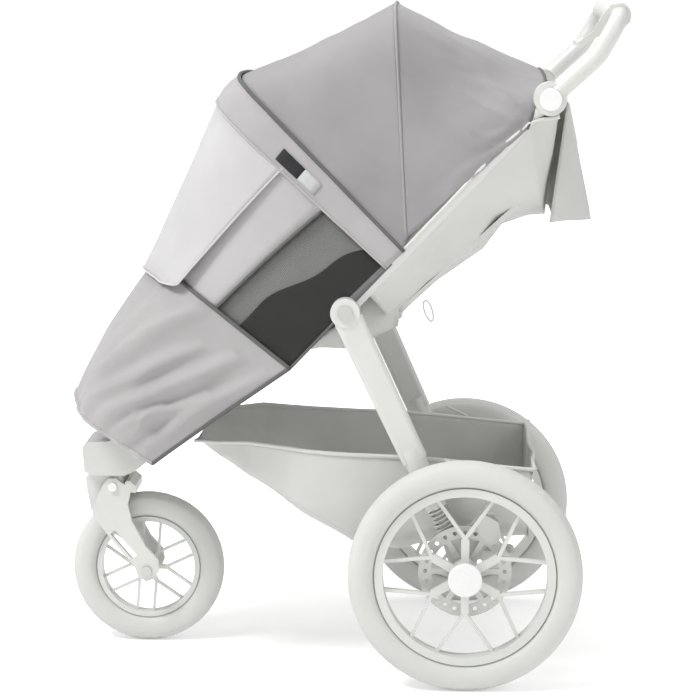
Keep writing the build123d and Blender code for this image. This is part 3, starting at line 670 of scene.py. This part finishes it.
def seat_tub():
    """Make the fabric tub that hangs between the upper tubes, and the flap behind it."""
    ribs = [
        rib((172, 256, 683), (118, 190, 610), (117, 0, 607), 0.5),
        rib((110, 256, 750), (57, 188, 674), (56, 0, 671), 0.5),
        rib((34, 256, 830), (-28, 186, 735), (-31, 0, 731), 0.5),
        rib((-13, 256, 881), (-60, 186, 778), (-63, 0, 774), 0.5),
        rib((-61, 256, 931), (-104, 188, 794), (-107, 0, 790), 0.5),
        rib((-102, 255, 966), (-134, 190, 800), (-138, 0, 790), 0.5),
        rib((-122, 250, 972), (-150, 190, 900), (-153, 0, 892), 0.5),
        rib((-152, 242, 975), (-160, 185, 984), (-163, 0, 984), 0.4),
    ]
    grid = loft(ribs, [10, 12, 8, 8, 6, 8, 8])
    relief = ripples(grid, 0.005, 0.12, (1, 0.6, 1), seed=9.0) - 0.003
    skin, tub_outer = cloth_sheet(
        "seat_tub_skin", grid, TUB_INSIDE, 0.002, relief, SHELL, "upper_frame",
    )
    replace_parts(skin, "seat_tub")
    for side in (0, -1):
        tube(f"tub_binding_{abs(side)}", grid[:, side], 0.003, SHELL, "upper_frame")
    vent = loft([rib((-152, 236, 986), (-158, 186, 986), (-160, 0, 986), 0.2), rib(*REAR_HEM, 0.30)], [10])
    cloth_sheet(
        "rear_vent", vent, at(0, 0, 950), 0.0006, np.zeros(vent.shape[:2]), NET, "upper_frame",
    )
    stations = []
    for step in range(21):
        down = step / 20
        wall = -172 - 40 * down
        low = 992 - 195 * down
        stations.append(rib(
            (-167 + 27 * down, 168, 992 - 201 * down),
            (wall, 168 + 4 * down, low), (wall - 3 * down, 0, low - 4 * down), 0.12,
        ))
    stations.append(rib((-140, 168, 790), (-150, 166, 789), (-150, 0, 788), 0.12))
    outer = np.array(stations)
    relief = ripples(outer, 0.006, 0.07, (1, 0.7, 0.5), seed=4.0) * np.linspace(0.1, 1, 22)[:, None]
    flap, made = cloth_sheet(
        "rear_flap_skin", outer, at(-150, 0, 900), 0.0016, relief, SHELL, "upper_frame",
    )
    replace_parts(flap, "rear_flap")


def basket():
    """Make the sagging fabric basket with a bound rim."""
    half = 211
    stations = [
        (474, 398, 394, 150), (430, 402, 366, 172), (380, 405, 334, 190),
        (287, 396, 271, 205), (200, 391, 213, half),
        (113, 388, 203, half), (60, 384, 218, half), (20, 380, 230, half), (-20, 376, 230, half),
        (-70, 371, 229, half), (-116, 367, 230, half), (-121, 366, 363, half),
    ]
    ribs = [
        rib((ahead, width, top), (ahead, width - 4, bottom + 4), (ahead, 0, bottom), 0.25)
        for ahead, top, bottom, width in stations
    ]
    grid = loft(ribs, [5, 6, 8, 8, 8, 6, 5, 5, 6, 6, 8])
    relief = ripples(grid, 0.007, 0.10, (1.2, 1.0, 0.6), seed=6.0) - 0.0045
    skin, outer = cloth_sheet(
        "basket_skin", grid, at(150, 0, 380), 0.002, relief, SHELL, "chassis",
    )
    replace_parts(skin, "basket")
    crumple(skin)
    rim = list(outer[:, 0]) + list(outer[-1, 1:-1]) + list(outer[::-1, -1])
    crumple(tube("basket_rim", rim, 0.0035, SHELL, "chassis"))


def pad(name, node, material, body, swell, channels):
    """Puff a CAD cushion into a sewn pad: remesh it, swell it with cloth pressure and press in its seams."""
    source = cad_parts[node]
    mesh = source.data.copy()
    mesh.materials.clear()
    mesh.materials.append(material)
    piece = bpy.data.objects.new(name, mesh)
    bpy.context.scene.collection.objects.link(piece)
    bpy.context.view_layer.objects.active = piece
    piece.select_set(True)
    remesh = piece.modifiers.new("remesh", "REMESH")
    remesh.mode = "VOXEL"
    remesh.voxel_size = 0.006
    bpy.ops.object.modifier_apply(modifier=remesh.name)
    start = np.array([vertex.co for vertex in piece.data.vertices])
    cloth = piece.modifiers.new("cloth", "CLOTH")
    cloth.settings.use_pressure = True
    cloth.settings.uniform_pressure_force = 4
    cloth.settings.effector_weights.gravity = 0
    for step in range(1, 21):
        bpy.context.scene.frame_set(step)
    solved = piece.evaluated_get(bpy.context.evaluated_depsgraph_get()).data
    moved = np.array([vertex.co for vertex in solved.vertices])
    piece.modifiers.remove(cloth)
    bpy.context.scene.frame_set(1)
    shift = moved - start
    reach = np.linalg.norm(shift, axis=1, keepdims=True)
    start = start + shift * np.minimum(1, swell / np.maximum(reach, 1e-9))
    low, high = start.min(axis=0), start.max(axis=0)
    middle = (low + high) / 2
    for number in range(1, channels):
        line = low[1] + (high[1] - low[1]) * number / channels
        press = np.exp(-((start[:, 1] - line) / 0.005) ** 2)[:, None]
        start = start - (start - middle) * np.array([0.03, 0, 0.03]) * press
    for vertex, place in zip(piece.data.vertices, start):
        vertex.co = place
    smoother = piece.modifiers.new("smooth", "SUBSURF")
    smoother.levels = smoother.render_levels = 1
    bpy.ops.object.modifier_apply(modifier=smoother.name)
    piece.select_set(False)
    piece.data.shade_smooth()
    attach(piece, body)
    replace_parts(piece, node)
    return piece


def ribbon(name, line, width, body):
    """Make a flat webbing strap along a line of points, across the stroller."""
    rows = []
    for place in line:
        rows.append([place + Vector((0, -width / 2, 0)), place, place + Vector((0, width / 2, 0))])
    grid = np.array([[tuple(point) for point in row] for row in rows])
    normal = normals_of(grid)
    mesh = grid_mesh(name, grid + normal * 0.0008, grid - normal * 0.0008)
    return finish_piece(mesh, name, WEBBING, body)


def seat():
    """Make the cushions, pan, calf panel and harness straps."""
    pad("seat_cushion_pad", "seat_cushion", LINER, "chassis", 0.004, 3)
    pad("back_cushion_pad", "back_cushion", LINER, "seat_back", 0.005, 5)
    for side, aside in (("left", 60), ("right", -60)):
        line = [at(-50 + 188 * share, aside * (1 - 0.3 * share), 850 - 178 * share + 5 * sin(pi * share))
                for share in (step / 16 for step in range(17))]
        strap = ribbon(f"shoulder_strap_{side}", line, 0.025, "seat_back")
        if side == "left":
            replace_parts(strap, "shoulder_straps")
    line = [at(226 - 20 * share, 0, 599 + 48 * share) for share in (step / 8 for step in range(9))]
    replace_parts(ribbon("crotch_webbing", line, 0.028, "chassis"), "crotch_strap")
    grid = np.array([
        [tuple(at(290 + 147 * down, 117 * (1 - 2 * across), 604 - 89 * down - 3 * sin(pi * across)))
         for across in (column / 20 for column in range(21))]
        for down in (row / 16 for row in range(17))
    ])
    calf, calf_outer = cloth_sheet(
        "calf_panel_skin", grid, at(360, 0, 300), 0.002, ripples(grid, 0.002, 0.08),
        SHELL, "chassis",
    )
    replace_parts(calf, "calf_panel")
    crumple(calf)
    pan_grid = loft([
        rib((283, 202, 577), (280, 200, 572), (279, 0, 571), 0.3),
        rib((262, 202, 588), (262, 200, 570), (262, 0, 569), 0.3),
        rib((205, 202, 627), (203, 200, 566), (201, 0, 563), 0.3),
        rib((180, 202, 660), (168, 200, 582), (166, 0, 580), 0.3),
        rib((132, 202, 700), (122, 200, 606), (122, 0, 601), 0.3),
        rib((112, 202, 690), (119, 200, 606), (119, 0, 602), 0.3),
    ], [5, 8, 6, 8, 3])
    pan, _ = cloth_sheet(
        "seat_pan_skin", pan_grid, at(200, 0, 700), 0.003, ripples(pan_grid, 0.002, 0.08), SHELL, "chassis",
    )
    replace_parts(pan, "seat_pan")
    loop = []
    for step in range(28):
        turn = 2 * pi * step / 28
        loop.append(at(66 + 7 * sin(turn) + 5 * cos(turn), 150 + 2 * sin(2 * turn), 634 + 18 * cos(turn)))
    pull = tube("pull_loop", loop, 0.0016, SHELL, "upper_frame", 8, closed=True)
    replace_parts(pull, "recline_pull_loop")


# ---------------------------------------------------------------- running gear
def tyre(name, node, body, segments, section):
    """Make a tyre with a ribbed tread and ringed side walls in place of the plain CAD ring."""
    low, high = (Vector(corner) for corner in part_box(node))
    centre = (low + high) / 2
    radius = (high.z - low.z) / 2
    half = (high.y - low.y) / 2
    middle = radius - section / 2
    points, faces = [], []
    around = 36
    for number in range(segments):
        heading = 2 * pi * number / segments
        for turn in range(around):
            angle = 2 * pi * turn / around
            out = np.sign(cos(angle)) * abs(cos(angle)) ** 0.82 * section / 2
            aside = np.sign(sin(angle)) * abs(sin(angle)) ** 0.82 * half
            if abs(angle - pi) > pi * 0.72:
                lane = (turn + 18) % around
                groove = lane in (14, 22) or (number % 4 == 0 and lane not in (17, 18, 19))
                out -= 0.0016 if groove else 0.0
            elif abs(sin(angle)) > 0.9 and turn % 2:
                aside *= 0.985
            reach = middle + out
            points.append(centre + Vector((reach * cos(heading), aside, reach * sin(heading))))
    for number in range(segments):
        following = (number + 1) % segments
        for turn in range(around):
            beside = (turn + 1) % around
            faces.append([
                number * around + turn, following * around + turn,
                following * around + beside, number * around + beside,
            ])
    mesh = bpy.data.meshes.new(name)
    mesh.from_pydata(points, [], faces)
    mesh.update()
    piece = finish_piece(mesh, name, RUBBER, body)
    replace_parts(piece, node)
    return piece


def coil_spring(name, top, foot, radius, wire, turns):
    """Make a coil spring between two points."""
    span = foot - top
    heading = span.normalized()
    side = heading.orthogonal().normalized()
    other = heading.cross(side)
    line = []
    count = turns * 18
    for step in range(count + 1):
        angle = 2 * pi * turns * step / count
        line.append(top + span * (step / count) + (side * cos(angle) + other * sin(angle)) * radius)
    return tube(name, line, wire, STEEL, "rear_axle", 7)


def running_gear():
    """Make the tyres and the two suspension springs."""
    for side in ("left", "right"):
        tyre(f"rear_tyre_{side}_tread", f"rear_tyre_{side}", f"rear_wheel_{side}", 224, 0.046)
    tyre("front_tyre_tread", "front_tyre", "front_wheel", 160, 0.044)
    for side, aside in (("left", 240), ("right", -240)):
        top, foot = at(48.5, aside, 305), at(29, aside, 262.5)
        spring = coil_spring(f"spring_{side}", top, foot, 0.0152, 0.0024, 6)
        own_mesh(spring)
        if side == "left":
            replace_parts(spring, "suspension_springs")


# ---------------------------------------------------------------- stage, lights and camera
def stage():
    """Set a pale floor, soft studio light and the camera."""
    mesh = bpy.data.meshes.new("floor")
    reach = 12.0
    corners = [(-reach, -reach, 0), (reach, -reach, 0), (reach, reach, 0), (-reach, reach, 0)]
    mesh.from_pydata(corners, [], [[0, 1, 2, 3]])
    material, nodes, links, shader = new_material("floor_paint", (0.93, 0.93, 0.93), 0.9, specular=0.0)
    place = nodes.new("ShaderNodeTexCoord")
    reach_from_middle = nodes.new("ShaderNodeVectorMath")
    reach_from_middle.operation = "LENGTH"
    links.new(place.outputs["Object"], reach_from_middle.inputs[0])
    glow = nodes.new("ShaderNodeMapRange")
    glow.inputs["From Min"].default_value = 0.5
    glow.inputs["From Max"].default_value = 2.2
    glow.inputs["To Min"].default_value = 0.35
    glow.inputs["To Max"].default_value = 1.0
    links.new(reach_from_middle.outputs["Value"], glow.inputs["Value"])
    seen = nodes.new("ShaderNodeLightPath")
    dim = nodes.new("ShaderNodeMapRange")
    dim.inputs["To Min"].default_value = 0.25
    dim.inputs["To Max"].default_value = 1.0
    links.new(seen.outputs["Is Camera Ray"], dim.inputs["Value"])
    shown = nodes.new("ShaderNodeMath")
    shown.operation = "MULTIPLY"
    links.new(glow.outputs["Result"], shown.inputs[0])
    links.new(dim.outputs["Result"], shown.inputs[1])
    links.new(shown.outputs[0], shader.inputs["Emission Strength"])
    shader.inputs["Emission Color"].default_value = (1, 1, 1, 1)
    mesh.materials.append(material)
    floor = bpy.data.objects.new("floor", mesh)
    bpy.context.scene.collection.objects.link(floor)
    world = bpy.data.worlds.new("studio")
    world.use_nodes = True
    world.node_tree.nodes["Background"].inputs["Color"].default_value = (1, 1, 1, 1)
    air = world.node_tree
    path = air.nodes.new("ShaderNodeLightPath")
    level = air.nodes.new("ShaderNodeMapRange")
    level.inputs["To Min"].default_value = 0.55
    level.inputs["To Max"].default_value = 1.02
    air.links.new(path.outputs["Is Camera Ray"], level.inputs["Value"])
    air.links.new(level.outputs["Result"], air.nodes["Background"].inputs["Strength"])
    bpy.context.scene.world = world
    for name, place, power, size in (
        ("key", (2.4, 1.6, 3.9), 125, 1.2), ("fill", (-3.0, 2.6, 2.2), 22, 2.4),
        ("top", (0, -0.6, 4.0), 45, 3.0),
    ):
        light = bpy.data.lights.new(name, "AREA")
        light.energy = power
        light.size = size
        lamp = bpy.data.objects.new(name, light)
        lamp.location = place
        lamp.rotation_euler = (Vector((0, 0, 0.6)) - Vector(place)).to_track_quat("-Z", "Y").to_euler()
        bpy.context.scene.collection.objects.link(lamp)
    camera_data = bpy.data.cameras.new("camera")
    camera_data.lens = 124.1
    camera_data.sensor_width = 36
    camera = bpy.data.objects.new("camera", camera_data)
    camera.location = at(24.4, 4287.7, 1236.2)
    yaw, pitch = 0.04288, 0.16079
    heading = Vector((sin(yaw) * cos(pitch), -cos(yaw) * cos(pitch), -sin(pitch)))
    camera.rotation_euler = heading.to_track_quat("-Z", "Y").to_euler()
    bpy.context.scene.collection.objects.link(camera)
    bpy.context.scene.camera = camera
    bpy.context.scene.view_settings.view_transform = "Standard"


dress_cad_nodes()
stage()
canopy()
weather_cover()
seat_tub()
basket()
seat()
running_gear()
